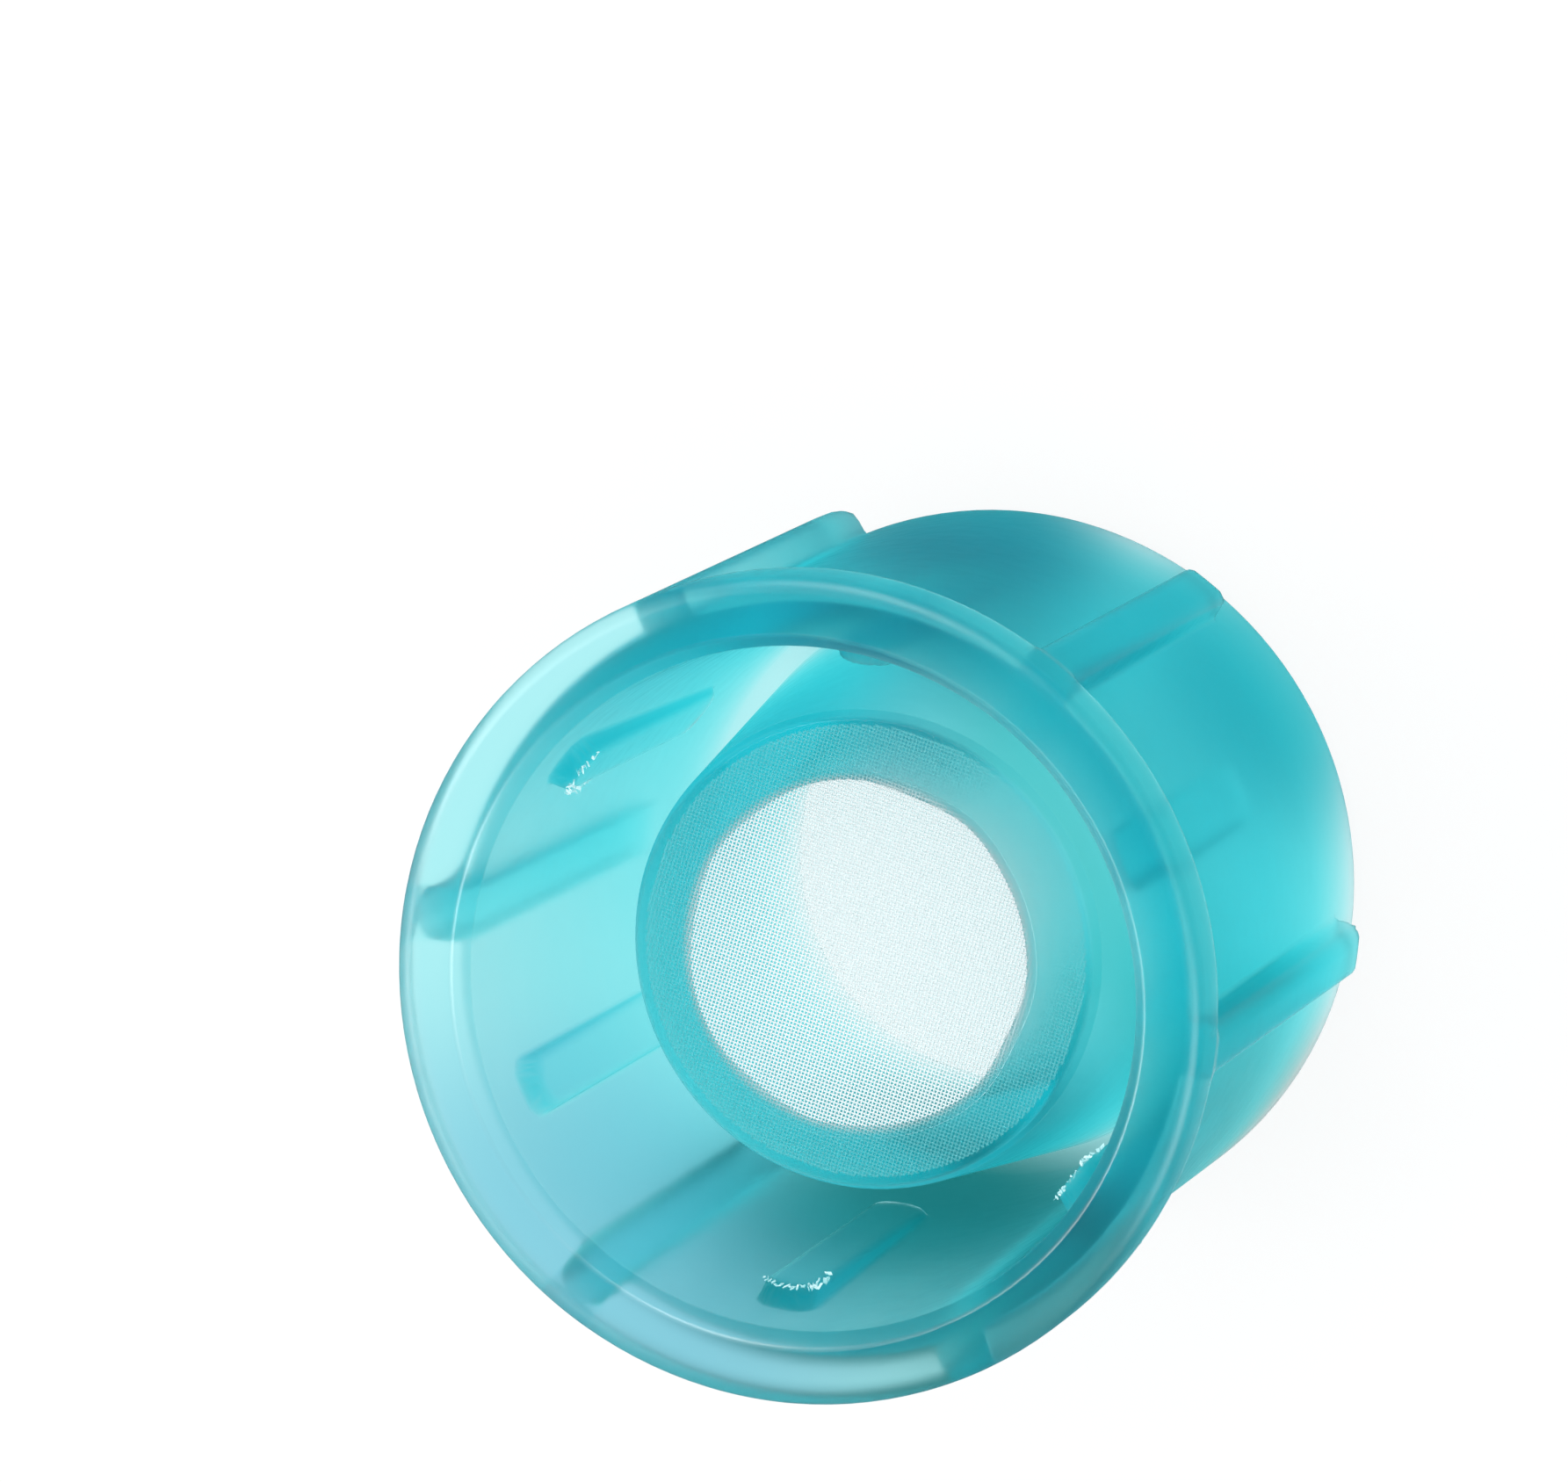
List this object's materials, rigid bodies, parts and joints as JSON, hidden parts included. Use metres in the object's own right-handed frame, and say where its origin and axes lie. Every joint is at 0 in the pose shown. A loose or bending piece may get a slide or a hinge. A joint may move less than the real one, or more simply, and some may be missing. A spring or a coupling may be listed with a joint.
{
  "type": "cell strainer cap",
  "caption": "Ribbed translucent snap cap for a round-bottom tube, with a woven nylon filter moulded into the tip of its hollow central plug.",
  "frame": {"origin": "centre of the closed end's outer face, where the cap stands", "axes": "+Z along the cap's axis and out of the open end, +X through one grip rib"},
  "size_m": [0.016, 0.016, 0.0149],
  "materials": {
    "teal_polyethylene": "translucent teal low-density polyethylene, as moulded, semi-gloss",
    "woven_nylon": "plain-weave white nylon monofilament filter mesh, 35 micrometre openings"
  },
  "bodies": {
    "root": {"cap_body": "teal_polyethylene", "nylon_mesh": "woven_nylon"}
  },
  "joints": []
}
